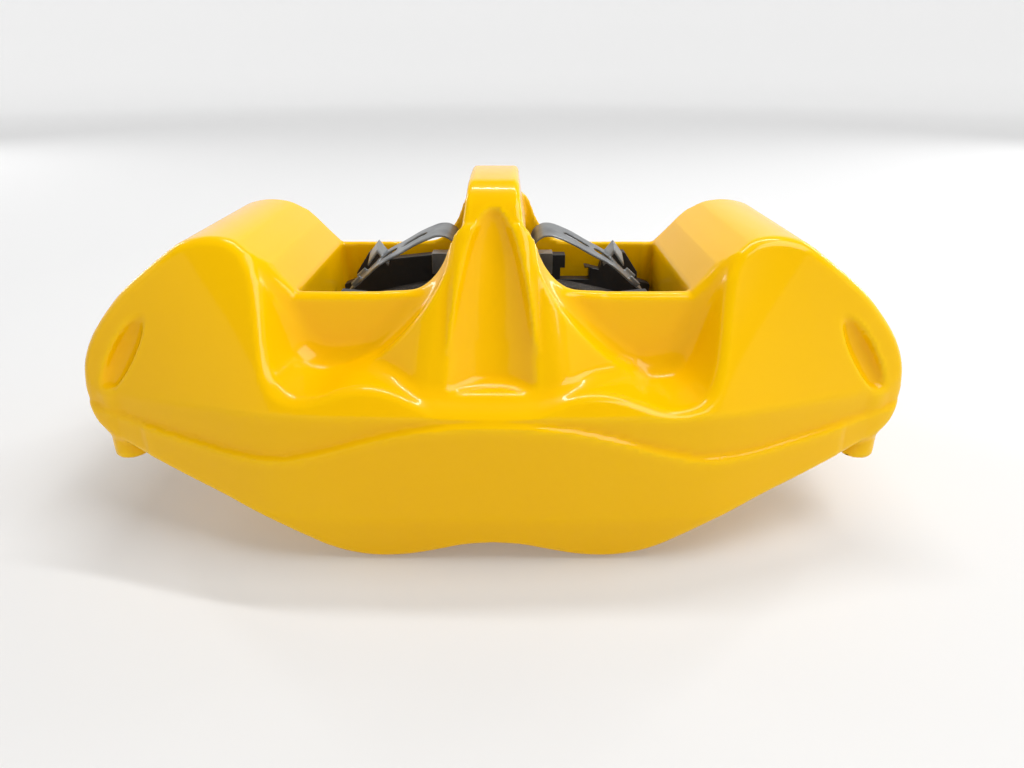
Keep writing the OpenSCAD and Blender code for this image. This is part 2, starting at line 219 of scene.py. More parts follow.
# floors and walls of the scallops outside the windows, from the middle to the hump, right and left
POCKET_R = spline([(0, -25.5), (14, -24.8), (26, -22.8), (40, -23), (50, -25.4), (58, -24.8),
                   (63.5, -22), (67.6, -17), (71.2, -10), (75.8, 0.5), (79.8, 8.4), (84, 14)])
POCKET_L = spline([(0, -25.5), (14, -24.8), (26, -22.6), (40, -21), (50, -22), (57, -22.2),
                   (62.5, -20.5), (67.2, -16.5), (71, -10), (75.7, 0.5), (79.8, 8.4), (84, 14)])
OUTER = Outline(POCKET_R + AROUND + [(-x, z) for x, z in reversed(AROUND[:-1])]
                + [(-x, z) for x, z in reversed(POCKET_L[1:])])
# what the ends stay within where the two halves and the rim are blended
ENDS = Outline(two_sided([(0, 70), (60, 70), (64, 6), (76.6, 9.4), (81.5, 13.1)] + AROUND))
# flared foot of the bridge, and the sweep of the window rim up into it
FOOT = Outline(two_sided([(0, 70), (BRIDGE_X, 70)]
                         + spline([(9.2, 34), (10.8, 26), (12.9, 18), (15.8, 9.5), (20.8, 0.8),
                                   (28, -8), (36.5, -16), (47, -24)])
                         + [(60, -40), (0, -60)]))
SWEEP = Outline(two_sided([(0, 70), (BRIDGE_X, 70)]
                          + spline([(9.4, 32), (11.2, 23), (13.2, 15), (16.0, 8), (20.6, 3.2),
                                    (27, 0.6), (38, -0.6)])
                          + [(52, -20), (0, -40)]))
# quarter of the plan: half length against half depth
CORNER = Outline([(-60, -90), (-60, 90), (112, 84), (122, 62.0)]
                 + spline([(131, 58.2), (136.5, 56.8), (140.4, 55), (143.2, 52), (145, 48.5), (146, 44)])
                 + [(146, 30), (146, -90)], (-4, -4), (156, 96))

# half depth of the side faces along the caliper, and the height of the ledge across them
BOW = np.array(spline([(0, 80), (25, 79.95), (45, 79.6), (60, 78.9), (72, 77.4), (83, 74.6), (97, 70),
                       (112, 64.9), (131, 58.2), (140, 55), (152, 50)], 12))
LEDGE = np.array(spline([(0, -31.6), (12, -32), (27, -33.8), (42, -37.4), (55, -41.4), (66, -44.2),
                         (74, -45.0), (86, -44.6), (104, -42.3), (123, -39.4), (137, -37), (152, -34)], 12))

# height, half width and depth of the flute
FLUTE = np.array([(-60, 18.4, 10), (-26, 18, 10), (-12, 16, 8.4), (0, 13, 6.6), (8, 10.8, 5.4), (14, 9, 4.5),
                  (18, 7.5, 3.8), (21, 6.1, 3.2), (23.4, 4.9, 2.6), (25, 3.8, 2.0), (26.2, 2.6, 1.3),
                  (27.2, 1.0, 0.4)])


def side_face(ax, z):
    """Half depth of the side faces at a place along the caliper and a height."""
    b = np.interp(ax, BOW[:, 0], BOW[:, 1])
    lean = LEAN_Y + (b - LEDGE_STEP - LEAN_Y) * (LEAN_Z - z) / (LEAN_Z - LEAN_FOOT)
    ledge = np.interp(ax, LEDGE[:, 0], LEDGE[:, 1])
    s = np.clip((ledge - z + LEDGE_HEIGHT / 2) / LEDGE_HEIGHT, 0, 1)
    band = b - LEDGE_STEP + LEDGE_STEP * s * s * (3 - 2 * s)
    # the band below the ledge draws in towards the underside
    t = np.maximum(TAPER_Z - z, 0)
    t2 = np.minimum(t, 3.0)
    band = band - TAPER * (t - t2) - TAPER * t2 * t2 / 6.0
    # the smaller of the two, with a soft change k wide between them
    k = 0.9
    h = np.clip(0.5 + 0.5 * (band - lean) / k, 0, 1)
    return band + (lean - band) * h - k * h * (1 - h)


def casting(x, y, z):
    """The two halves, the end arches, the bridge and the hollows that show."""
    ax, ay = np.abs(x), np.abs(y)
    h = side_face(ax, z)
    # above its foot the face leans, so it is nearer than the half depth says
    face = (ay - h) * np.where(z > LEAN_FOOT, 0.8, 1.0)
    inner = INNER(x, z)
    # the scallops open out towards the side faces, above the underside and short of the ends
    open_out = np.clip(ay - 45.0, 0, 26) * np.clip((97.0 - ax) / 12.0, 0, 1)
    open_out = open_out * np.clip((z + 44.0) / 14.0, 0, 1)
    outer = OUTER(x - np.sign(x) * 0.27 * open_out * np.clip(ax / 50.0, 0, 1), z + 0.12 * open_out)
    for cx, _, wall in BORES:
        outer = join(outer, rod(x, z, cx, PISTON_Z) - wall, 4)
    # foot of the bridge, with a slanting facet on each side of the flute
    facet = 0.445 * ax + 0.699 * ay + 0.56 * z - 44.9
    front = face + np.interp(z, [-25.5, 0, 20], [4.2, 2.0, 0.0])
    foot = both(both(FOOT(x, z), facet, 1.2), front, 1.5)
    solid = join(outer, foot, 5)
    # window rim
    wall = ay - (40.4 - 0.26 * z)
    rim = both(join(inner, SWEEP(x, z), 1.5), wall, 2.6)
    solid = np.maximum(join(solid, rim, 7), ENDS(x, z))
    solid = both(solid, face, 2.6)
    solid = both(solid, CORNER(ax, ay), 3)
    # pad windows, the gap between the halves and the slot for the disc
    win = both(both(ax - WINDOW_X, ay - WINDOW_Y, 2.5), WINDOW_Z - z, 0.5)
    gap = both(ax - SADDLE_X, ay - WINDOW_Y, 2)
    disc = np.maximum(rod(x, z, 0, -DISC_DROP) - ARCH_R, ay - SLOT_Y)
    solid = cut(cut(cut(solid, win, 1.3), gap, 1.3), disc, 1.3)
    # centre bridge
    crown = BRIDGE_Z - ay * ay / 480.0
    top = both(z - crown, face, 6.0)
    under = BRIDGE_UNDER - z - np.maximum(ay - 26, 0) * 0.9
    half = np.interp(z, [5, 14, 24, BRIDGE_Z], [12.8, 12.2, 10.3, BRIDGE_X])
    bar = np.maximum(both(both(top, ax - half, 1.6), under, 2.5), ay - 58)
    solid = join(solid, bar, 4)
    # flute down each end of the bridge
    w = np.interp(z, FLUTE[:, 0], FLUTE[:, 1])
    d = np.interp(z, FLUTE[:, 0], FLUTE[:, 2])
    r = (w * w + d * d) / (2 * d)
    groove = np.sqrt(x * x + (face - (r - d)) ** 2) - r
    groove = both(np.maximum(groove, z - 27.2), -(z + 25.0), 3.0)
    solid = cut(solid, groove, 1.2)
    # reliefs in the outboard end corners
    relief = lens(ax, -y, z, middle=(127.0, 52.7, -18.2), along=(-0.496, -0.21, 0.84),
                  out=(0.28, 0.72, 0.64), size=(14.5, 4.6, 3.6))
    return cut(solid, relief, 0.9)


def field(x, y, z):
    """The whole body: the casting with its bosses, lugs, bores and ports."""
    f = casting(x, y, z)
    ax, ay = np.abs(x), np.abs(y)
    # outboard gallery bosses, inboard mounting lugs and the seats of the bleed screws
    boss = both(rod(ax, y, BOSS_X, BOSS_Y) - BOSS_R, slab(z, BOSS_END, -30.0), 1.8)
    lug = both(rod(ax, y, MOUNT_X, MOUNT_Y) - LUG_R, slab(z, -RIM, BOLT_SEAT), 1.0)
    f = join(join(f, boss, 2.0), lug, 2.5)
    bleed = rod(ax, y, BLEED_X, BLEED_Y)
    f = join(f, both(bleed - 7.6, slab(z, -40.0, BLEED_SEAT), 1.2), 3.5)
    for cx, r, _ in BORES:
        d = rod(x, z, cx, PISTON_Z)
        f = cut(f, both(d - r, slab(ay, BORE_MOUTH, BORE_END), 0.3), 0.5)
        f = cut(f, both(d - r - BOOT_RING, slab(ay, BORE_MOUTH, BOOT_END), 0.3), 0.5)
    # mounting holes, bolt access, bleed and inlet ports, plug seats
    f = cut(f, rod(ax, y, MOUNT_X, MOUNT_Y) - MOUNT_R, 1.1)
    f = cut(f, both(rod(ax, y, MOUNT_X, MOUNT_Y + 1.0) - 10.5, BOLT_SEAT - z, 0.6), 1.2)
    f = cut(f, both(bleed - 9.0, BLEED_SEAT - z, 1.2), 1.6)
    f = cut(f, both(bleed - 4.0, -(z + 30.0), 0.2), 0.3)
    inlet = rod(x, z, 0, PISTON_Z)
    f = cut(f, both(inlet - INLET_SEAT_R, INLET_SEAT - y, 1.0), 0.9)
    f = cut(f, both(inlet - INLET_R, 66.0 - y, 0.2), 1.2)
    return cut(f, np.maximum(rod(ax, y, BOSS_X, BOSS_Y) - 3.8, z - BOSS_END - 4.0), 0.3)


# ------------------------------------------------------------------ surface from a field
def surface(name, fn, lo, hi, step):
    """Closed mesh of the zero surface of fn, its points pulled onto the surface."""
    ax = [np.arange(a, b + step, step) for a, b in zip(lo, hi)]
    f = fn(ax[0][:, None, None], ax[1][None, :, None], ax[2][None, None, :])
    f = np.ascontiguousarray(np.broadcast_to(f, tuple(len(a) for a in ax)), dtype=np.float32)
    shape = np.array(f.shape)
    cells = tuple(shape - 1)
    inside = f < 0
    acc = np.zeros((int(np.prod(cells)), 4))
    quads = []
    for k in range(3):
        sl0, sl1 = [slice(None)] * 3, [slice(None)] * 3
        sl0[k], sl1[k] = slice(0, -1), slice(1, None)
        change = inside[tuple(sl0)] != inside[tuple(sl1)]
        idx = np.argwhere(change)
        a = f[tuple(sl0)][change].astype(float)
        b = f[tuple(sl1)][change].astype(float)
        t = a / (a - b)
        pos = idx.astype(float)
        pos[:, k] += t
        i, j = [q for q in range(3) if q != k]
        ok = (idx[:, i] > 0) & (idx[:, j] > 0) & (idx[:, i] < shape[i] - 1) & (idx[:, j] < shape[j] - 1)
        idx, pos, a = idx[ok], pos[ok], a[ok]
        corner = []
        for di, dj in ((0, 0), (1, 0), (1, 1), (0, 1)):
            c = idx.copy()
            c[:, i] -= di
            c[:, j] -= dj
            flat = np.ravel_multi_index(c.T, cells)
            corner.append(flat)
            for m in range(3):
                acc[:, m] += np.bincount(flat, weights=pos[:, m], minlength=len(acc))
            acc[:, 3] += np.bincount(flat, minlength=len(acc))
        q = np.stack(corner, 1)
        flip = (a >= 0) if k != 1 else (a < 0)
        q[flip] = q[flip][:, ::-1]
        quads.append(q)
    quads = np.concatenate(quads)
    used, inv = np.unique(quads, return_inverse=True)
    faces = inv.reshape(quads.shape)
    v = acc[used, :3] / acc[used, 3:4] * step + np.array([a[0] for a in ax])
    start = v.copy()
    for _ in range(4):
        d, g = fn(*v.T), gradient(fn, v)
        v -= (d / np.maximum((g * g).sum(1), 0.09))[:, None] * g
        v = start + np.clip(v - start, -0.6 * step, 0.6 * step)
    g = gradient(fn, v)
    n = g / np.maximum(np.linalg.norm(g, axis=1, keepdims=True), 1e-9)
    return mesh_object(name, to_row(v), faces, n)


def gradient(fn, v, e=0.25):
    """Slope of a field at each point, from steps of e to both sides."""
    g = np.empty_like(v)
    for k in range(3):
        d = np.zeros(3)
        d[k] = e
        g[:, k] = (fn(*(v + d).T) - fn(*(v - d).T)) / (2 * e)
    return g


def mesh_object(name, v, faces, normals=None):
    """Smooth mesh from points in metres and faces that all have the same number of corners."""
    me = bpy.data.meshes.new(name)
    faces = np.asarray(faces)
    me.vertices.add(len(v))
    me.vertices.foreach_set("co", np.asarray(v, dtype=np.float32).ravel())
    me.loops.add(faces.size)
    me.loops.foreach_set("vertex_index", faces.ravel().astype(np.int32))
    me.polygons.add(len(faces))
    me.polygons.foreach_set("loop_start", np.arange(0, faces.size, faces.shape[1], dtype=np.int32))
    me.update(calc_edges=True)
    me.validate()
    me.shade_smooth()
    if normals is not None:
        me.normals_split_custom_set_from_vertices(normals.astype(float).tolist())
    ob = bpy.data.objects.new(name, me)
    bpy.context.scene.collection.objects.link(ob)
    return ob


# ------------------------------------------------------------------ materials
def node_material(name):
    """New material, its node tree and its shader."""
    mat = bpy.data.materials.new(name)
    mat.use_nodes = True
    nt = mat.node_tree
    return mat, nt, nt.nodes["Principled BSDF"]


def paint():
    """Yellow gloss paint under clear coat, with painted shade: a darker orange in the hollows."""
    mat, nt, b = node_material("caliper_paint_look")
    new, link = nt.nodes.new, nt.links.new
    spot = new("ShaderNodeTexCoord").outputs["Object"]

    def noise(scale, detail=2.0):
        n = new("ShaderNodeTexNoise")
        n.inputs["Scale"].default_value = scale
        n.inputs["Detail"].default_value = detail
        link(spot, n.inputs["Vector"])
        return n.outputs["Fac"]

    def ramp(source, stops):
        r = new("ShaderNodeValToRGB")
        for i, (at, col) in enumerate(stops):
            e = r.color_ramp.elements[i] if i < 2 else r.color_ramp.elements.new(at)
            e.position = at
            e.color = (*col, 1)
        link(source, r.inputs["Fac"])
        return r.outputs["Color"]

    tone = ramp(noise(9.0), [(0.35, (0.93, 0.53, 0.0)), (0.65, (0.95, 0.57, 0.0))])
    # painted shade: Pointiness marks the hollows, and the mix below gives them the darker orange (0.88,
    # 0.45, 0) to stand in for shade; ridges keep the full tone
    edge = ramp(new("ShaderNodeNewGeometry").outputs["Pointiness"], [(0.46, (0, 0, 0)), (0.54, (1, 1, 1))])
    hollow_shade = new("ShaderNodeMix")
    hollow_shade.data_type = "RGBA"
    hollow_shade.inputs["A"].default_value = (0.88, 0.45, 0.0, 1)
    link(edge, hollow_shade.inputs["Factor"])
    link(tone, hollow_shade.inputs["B"])
    link(hollow_shade.outputs["Result"], b.inputs["Base Color"])
    rough = new("ShaderNodeMapRange")
    rough.inputs["To Min"].default_value = 0.16
    rough.inputs["To Max"].default_value = 0.26
    link(noise(60.0), rough.inputs["Value"])
    link(rough.outputs["Result"], b.inputs["Roughness"])
    b.inputs["Specular IOR Level"].default_value = 0.06
    b.inputs["Coat Weight"].default_value = 0.26
    b.inputs["Coat Roughness"].default_value = 0.035
    bump = new("ShaderNodeBump")
    bump.inputs["Strength"].default_value = 0.10
    bump.inputs["Distance"].default_value = 0.0003
    link(noise(260.0, 3.0), bump.inputs["Height"])
    link(bump.outputs["Normal"], b.inputs["Normal"])
    coat = new("ShaderNodeBump")
    coat.inputs["Strength"].default_value = 0.05
    coat.inputs["Distance"].default_value = 0.0003
    link(noise(190.0, 2.0), coat.inputs["Height"])
    link(coat.outputs["Normal"], b.inputs["Coat Normal"])
    return mat


def look(name, light, dark, metal, rough, scale=40.0, grain=0.06, grain_scale=700.0, wear=None,
         brushed=0.0, flecks=None):
    """Procedural finish: clouded colour, uneven roughness and grain; wear, brushing or flecks if asked."""
    mat, nt, b = node_material(name + "_look")
    new, link = nt.nodes.new, nt.links.new
    spot = new("ShaderNodeTexCoord").outputs["Object"]

    def noise(size, detail=3.0, stretch=None):
        n = new("ShaderNodeTexNoise")
        n.inputs["Scale"].default_value = size
        n.inputs["Detail"].default_value = detail
        if stretch:
            m = new("ShaderNodeMapping")
            m.inputs["Scale"].default_value = stretch
            link(spot, m.inputs["Vector"])
            link(m.outputs["Vector"], n.inputs["Vector"])
        else:
            link(spot, n.inputs["Vector"])
        return n.outputs["Fac"]

    def blend(fac, a, c):
        m = new("ShaderNodeMix")
        m.data_type = "RGBA"
        for key, val in (("A", a), ("B", c)):
            if isinstance(val, tuple):
                m.inputs[key].default_value = (*val, 1)
            else:
                link(val, m.inputs[key])
        link(fac, m.inputs["Factor"])
        return m.outputs["Result"]

    def spread(source, lo, hi, to_lo=0.0, to_hi=1.0):
        r = new("ShaderNodeMapRange")
        for key, val in (("From Min", lo), ("From Max", hi), ("To Min", to_lo), ("To Max", to_hi)):
            r.inputs[key].default_value = val
        link(source, r.inputs["Value"])
        return r.outputs["Result"]

    colour = blend(spread(noise(scale), 0.35, 0.65), dark, light)
    if flecks:
        v = new("ShaderNodeTexVoronoi")
        v.inputs["Scale"].default_value = flecks[0]
        link(spot, v.inputs["Vector"])
        colour = blend(spread(v.outputs["Distance"], 0.28, 0.12), colour, flecks[1])
    if wear:
        bev = new("ShaderNodeBevel")
        bev.samples = 4
        bev.inputs["Radius"].default_value = 0.0005
        geo = new("ShaderNodeNewGeometry")
        dot = new("ShaderNodeVectorMath")
        dot.operation = "DOT_PRODUCT"
        link(bev.outputs["Normal"], dot.inputs[0])
        link(geo.outputs["Normal"], dot.inputs[1])
        patchy = new("ShaderNodeMath")
        patchy.operation = "MULTIPLY"
        link(spread(dot.outputs["Value"], 0.985, 0.90), patchy.inputs[0])
        link(spread(noise(180.0), 0.38, 0.6), patchy.inputs[1])
        colour = blend(patchy.outputs["Value"], colour, wear)
    link(colour, b.inputs["Base Color"])
    b.inputs["Metallic"].default_value = metal
    link(spread(noise(scale * 2.2), 0.3, 0.7, rough[0], rough[1]), b.inputs["Roughness"])
    bump = new("ShaderNodeBump")
    bump.inputs["Strength"].default_value = grain
    bump.inputs["Distance"].default_value = 0.0002
    link(noise(grain_scale, 2.0, (1.0, 1.0, brushed) if brushed else None), bump.inputs["Height"])
    link(bump.outputs["Normal"], b.inputs["Normal"])
    return mat


LOOKS = {
    "piston_steel": look("piston_steel", (0.66, 0.67, 0.69), (0.52, 0.53, 0.55), 1.0, (0.18, 0.32),
                         brushed=0.08, wear=(0.82, 0.82, 0.83)),
    "seal_rubber": look("seal_rubber", (0.024, 0.026, 0.03), (0.014, 0.015, 0.018), 0.0, (0.45, 0.6)),
    "boot_rubber": look("boot_rubber", (0.03, 0.031, 0.032), (0.016, 0.016, 0.017), 0.0, (0.5, 0.75),
                        grain=0.15),
    "plate_black": look("plate_black", (0.018, 0.0185, 0.02), (0.009, 0.0095, 0.011), 0.0, (0.38, 0.55),
                        grain=0.3, grain_scale=1100, wear=(0.07, 0.07, 0.075)),
    "friction": look("friction", (0.055, 0.05, 0.045), (0.022, 0.021, 0.02), 0.0, (0.7, 0.92), scale=160,
                     grain=0.6, grain_scale=900, flecks=(900.0, (0.20, 0.16, 0.11))),
    "stainless": look("stainless", (0.44, 0.45, 0.47), (0.33, 0.34, 0.36), 1.0, (0.32, 0.46), brushed=0.05,
                      wear=(0.62, 0.62, 0.63)),
    "spring_steel": look("spring_steel", (0.24, 0.255, 0.265), (0.15, 0.16, 0.17), 0.6, (0.32, 0.46),
                         scale=90, grain=0.12, grain_scale=1400, wear=(0.42, 0.41, 0.40)),
    "zinc_steel": look("zinc_steel", (0.62, 0.51, 0.24), (0.50, 0.44, 0.27), 1.0, (0.24, 0.4), scale=120,
                       wear=(0.74, 0.68, 0.5)),
    "cap_rubber": look("cap_rubber", (0.026, 0.027, 0.028), (0.014, 0.014, 0.015), 0.0, (0.42, 0.62),
                       grain=0.12),
    "plug_steel": look("plug_steel", (0.50, 0.51, 0.53), (0.36, 0.37, 0.39), 1.0, (0.28, 0.42), scale=150,
                       wear=(0.7, 0.7, 0.7)),
    "screw_steel": look("screw_steel", (0.20, 0.205, 0.215), (0.12, 0.125, 0.135), 1.0, (0.3, 0.45),
                        scale=150, wear=(0.5, 0.5, 0.5)),
}

PAINT = paint()

body = surface("caliper_body", field, (-147.3, -83.1, -87.2), (147.9, 83.7, 38.7), VOXEL)
body.data.materials.append(PAINT)
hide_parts("body")
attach(body, "caliper")


# ------------------------------------------------------------------ smaller pieces
def fillet(points, r, n=4):
    """Closed outline with its corners rounded, those on the axis left sharp."""
    p = [Vector(q) for q in points]
    out = []
    for i, b in enumerate(p):
        if b.x < 1e-6:
            out.append(tuple(b))
            continue
        u, w = p[i - 1] - b, p[(i + 1) % len(p)] - b
        size = min(r, 0.45 * u.length, 0.45 * w.length)
        s, e = b + u.normalized() * size, b + w.normalized() * size
        for k in range(n + 1):
            t = k / n
            out.append(tuple((1 - t) ** 2 * s + 2 * t * (1 - t) * b + t * t * e))
    return out


def lathe(name, outline, place, n=96):
    """Outline of (radius, height) turned round an axis; place maps (u, v, height) to the disc frame."""
    m = len(outline)
    turn = np.arange(n) * 2 * math.pi / n
    rad = np.array([q[0] for q in outline])
    hgt = np.array([q[1] for q in outline])
    u = (np.cos(turn)[:, None] * rad).ravel()
    v = (np.sin(turn)[:, None] * rad).ravel()
    h = np.tile(hgt, n)
    i, j = np.meshgrid(np.arange(n), np.arange(m), indexing="ij")
    i2, j2 = (i + 1) % n, (j + 1) % m
    faces = np.stack([i * m + j, i * m + j2, i2 * m + j2, i2 * m + j], -1).reshape(-1, 4)
    ob = mesh_object(name, to_row(np.stack(place(u, v, h), 1)), faces)
    bm = bmesh.new()
    bm.from_mesh(ob.data)
    bmesh.ops.remove_doubles(bm, verts=bm.verts, dist=1e-7)
    bmesh.ops.dissolve_degenerate(bm, edges=bm.edges, dist=1e-8)
    bmesh.ops.recalc_face_normals(bm, faces=bm.faces)
    bm.to_mesh(ob.data)
    bm.free()
    ob.data.shade_smooth()
    ob.data.set_sharp_from_angle(angle=math.radians(50))
    return ob


def along_y(side, cx):
    """Axis across the disc through a piston bore."""
    return lambda u, v, h: (cx + u, side * h, PISTON_Z + v)


def upright(cx, cy):
    """Axis along Z at a place in the plan."""
    return lambda u, v, h: (cx + u, cy + v, h)


def fit_out(ob, nodes, body, slot):
    """Material, the CAD nodes the piece stands for, the body it rides on and its finish slot."""
    ob.data.materials.append(LOOKS[slot])
    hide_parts(*nodes)
    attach(ob, body)


def shell_piece(name, fn, lo, hi, step, nodes, body, slot):
    """Piece made from a field."""
    fit_out(surface(name, fn, lo, hi, step), nodes, body, slot)


# ---- pistons, boots and seals
for side_name, side in (("outboard", -1), ("inboard", 1)):
    for size_name, (cx, r, _) in zip(("large", "small"), BORES):
        key = f"{side_name}_{size_name}"
        pr = r - 0.06
        cup = [(pr - 5, 33.25), (pr - 1.4, 33.25), (pr, 34.0), (pr, 34.45), (pr - 1.4, 34.5),
               (pr - 1.4, 35.6), (pr, 35.65), (pr, 57.5), (0, 57.5), (0, 50.5),
               (pr - 6.5, 50.5), (pr - 6.5, 46), (pr - 5, 44.5)]
        ob = lathe(f"piston_{key}_look", fillet(cup, 0.45), along_y(side, cx))
        fit_out(ob, [f"piston_{key}"], f"{key}_piston", "piston_steel")
        bellows = [(r + 0.05, 36.5), (r + 0.9, 36.35), (r + 1.5, 37.1), (r + 2.1, 36.4), (r + 2.95, 36.5),
                   (r + 2.95, 39.4), (r + 2.0, 39.45), (r + 1.5, 38.5), (r + 1.0, 39.45), (r + 0.05, 39.4)]
        ob = lathe(f"boot_{key}_look", fillet(bellows, 0.35), along_y(side, cx))
        fit_out(ob, [f"boot_{key}"], "caliper", "boot_rubber")
        square = [(r + 0.02, 47.02), (r + 2.38, 47.05), (r + 2.38, 50.95), (r + 0.02, 50.98)]
        ob = lathe(f"seal_{key}_look", fillet(square, 0.3), along_y(side, cx))
        fit_out(ob, [f"seal_{key}"], "caliper", "seal_rubber")


# ---- bleed screws, caps and gallery plugs
def bleeder(cx):
    """Hollow bleed screw: cone, thread, hexagon and hose nipple."""
    def fn(x, y, z):
        u, v = x - cx, y - BLEED_Y
        rad = np.sqrt(u * u + v * v)
        turn = np.arctan2(v, u) / (2 * math.pi)
        pitch = (z + 30) / 1.25 - turn
        thread = rad - 3.62 - 0.3 * np.abs(2 * (pitch - np.floor(pitch)) - 1)
        shank = both(thread, slab(z, -27.6, -12.6), 0.3)
        cone = both(rad - np.interp(z, [-30, -27.2], [2.0, 3.4]), slab(z, -30, -26), 0.2)
        collar = both(rad - 3.55, slab(z, -13.4, -10.6), 0.2)
        bevel = rad - np.interp(z, [-11, -10.2, -5.8, -5.0], [5.1, 5.75, 5.75, 5.1])
        nut = both(both(hexagon(u, v, 5.0), bevel, 0.2), slab(z, -11, -5), 0.25)
        neck = rad - np.interp(z, [-5.4, -4.6, 0.2, 1.2, 2.2, 3.0], [3.4, 2.6, 2.6, 3.4, 3.2, 2.3])
        neck = both(neck, slab(z, -6, 3), 0.3)
        f = np.minimum(np.minimum(shank, cone), join(join(collar, nut, 0.3), neck, 0.5))
        return cut(f, both(rad - 1.0, -(z + 24), 0.2), 0.25)
    return fn


def gallery_plug(px):
    """Short socket screw flush in its boss."""
    def fn(x, y, z):
        u, v = x - px, y - BOSS_Y
        rad = np.sqrt(u * u + v * v) - np.minimum(z + 56.9, 0.6)
        f = both(rad - 3.15, slab(z, -56.85, -53.05), 0.25)
        return cut(f, both(hexagon(u, v, 2.0), z + 54.5, 0.2), 0.3)
    return fn


# section of a bleed cap: lip, two grooves, dome and the hollow that fits the nipple
CAP = [(3.72, -4.6), (5.55, -4.6), (5.55, -3.0), (4.95, -2.7), (4.95, -1.2), (5.15, -0.9), (5.15, -0.1),
       (4.95, 0.2), (4.95, 1.4), (5.15, 1.7), (5.15, 2.5), (4.95, 2.8), (4.9, 5.6), (3.6, 7.95),
       (0, 7.95), (0, 4.0), (3.72, 4.0)]

for end_name, end in (("left", -1), ("right", 1)):
    cx = end * BLEED_X
    step = 0.32
    shell_piece(f"bleed_screw_{end_name}_look", bleeder(cx), (cx - 6.6, 49.4, -30.9), (cx + 6.6, 62.6, 3.9),
                step, [f"bleed_screw_{end_name}"], f"{end_name}_bleeder", "zinc_steel")
    ob = lathe(f"bleed_cap_{end_name}_look", fillet(CAP, 0.4), upright(cx, BLEED_Y), 64)
    fit_out(ob, [f"bleed_cap_{end_name}"], f"{end_name}_cap", "cap_rubber")
    px = end * BOSS_X
    shell_piece(f"gallery_plug_{end_name}_look", gallery_plug(px),
                (px - 4.6, BOSS_Y - 4.6, -57.6), (px + 4.6, BOSS_Y + 4.6, -52.4), 0.33,
                [f"gallery_plug_{end_name}"], "caliper", "plug_steel")


# ---- pad springs: a bent strip with two slots, a folded tab on its far edge and two ears at the tip
# centre line of the strip seen along Y, and its half width against X
SPRING = np.array(spline([(2, 10.9), (8, 10.9), (11, 9.7), (12.9, 7.6)])
                  + spline([(14.1, 7.0), (14.3, 8.4), (15.6, 11.4), (18.4, 13.3), (21.4, 13.5), (24.6, 12.6),
                            (30, 10.2), (36, 6.8), (44, 2.4), (50, -3), (54.6, -7.2), (58.4, -10.4)]))
HALF_WIDTH = np.array([(0, 11.4), (30, 11.4), (36, 11.2), (44, 11.0), (47, 9.6), (50.5, 7.2), (54, 6.0),
                       (56, 4.6), (59, 4.2)])


def strip_place(x, z):
    """Distance from the strip's centre line and the X of the nearest place on it."""
    best = np.full(np.broadcast(x, z).shape, 1e9)
    at = np.zeros(best.shape)
    for (ax, az), (bx, bz) in zip(SPRING[:-1], SPRING[1:]):
        dx, dz = bx - ax, bz - az
        t = np.clip(((x - ax) * dx + (z - az) * dz) / (dx * dx + dz * dz), 0, 1)
        d = (x - ax - t * dx) ** 2 + (z - az - t * dz) ** 2
        near = d < best
        best = np.where(near, d, best)
        at = np.where(near, ax + t * dx, at)
    return np.sqrt(best), at


def spring_field(end):
    """Pad spring over the left or right window."""
    def fn(x, y, z):
        x = end * x
        d, at = strip_place(x, z)
        ends = np.maximum(2.0 - x, (x - 58.2) * 0.76 - (z + 10.3) * 0.65)
        sheet = d - 0.45
        width = np.abs(y) - np.interp(at, HALF_WIDTH[:, 0], HALF_WIDTH[:, 1])
        plan = both(width, ends, 1.2)
        plan = cut(plan, box2(at, y, 31.6, 0.6, 5.2, 2.7, 2.6), 0.2)
        plan = cut(plan, box2(at, y, 42.6, 0.6, 3.9, 4.3, 3.0), 0.2)
        for sy in (-SCREW_Y, SCREW_Y):
            plan = cut(plan, np.sqrt((x - 5.5) ** 2 + (y - sy) ** 2) - 2.3, 0.1)
        strip = both(sheet, plan, 0.35)
        # folded tab, its ridge rising to the far edge
        roof = 6.4 - 1.32 * np.abs(x - 47.4) - 0.42 * (11.2 - y)
        extent = np.maximum(slab(x, 43.2, 51.6), slab(y, 4.6, 11.3))
        fold = both(np.abs(z - roof) * 0.58 - 0.5, extent, 0.35)
        # two small ears turned up beside the tip
        above = np.interp(x, SPRING[-14:, 0], SPRING[-14:, 1]) - z
        extent = np.maximum(box2(at, z, 53.6, 0, 1.9, 40.0), above)
        ear = both(both(np.abs(np.abs(y) - 5.9) - 0.42, d - 2.1, 0.4), extent, 0.3)
        return join(join(strip, fold, 0.6), ear, 0.4)
    return fn


for end_name, end in (("left", -1), ("right", 1)):
    lo, hi = sorted((end * 1.2, end * 59.5))
    shell_piece(f"pad_spring_{end_name}_look", spring_field(end), (lo, -12.3, -13.2), (hi, 12.3, 14.9),
                0.45, [f"pad_spring_{end_name}"], "caliper", "spring_steel")


# ---- strap and cap screws that hold the springs under the bridge
def strap(x, y, z):
    """Plate that clamps both springs under the bridge."""
    f = both(box2(x, y, 0, 0, 6.95, 16.95, 2.5), slab(z, 8.05, 10.25), 0.4)
    for sy in (-SCREW_Y, SCREW_Y):
        f = cut(f, np.sqrt(x * x + (y - sy) ** 2) - 2.3, 0.3)
    return f


def strap_screws(x, y, z):
    """The two socket screws of the plate, heads down."""
    v = np.abs(y) - SCREW_Y
    rad = np.sqrt(x * x + v * v)
    head = both(rad - np.interp(z, [5, 5.7, 8], [2.9, 3.55, 3.55]), slab(z, 5.05, 7.98), 0.3)
    head = cut(head, both(hexagon(x, v, 1.5), z - 7.0, 0.1), 0.2)
    return join(head, both(rad - 2.0, slab(z, 7, 20.9), 0.2), 0.2)


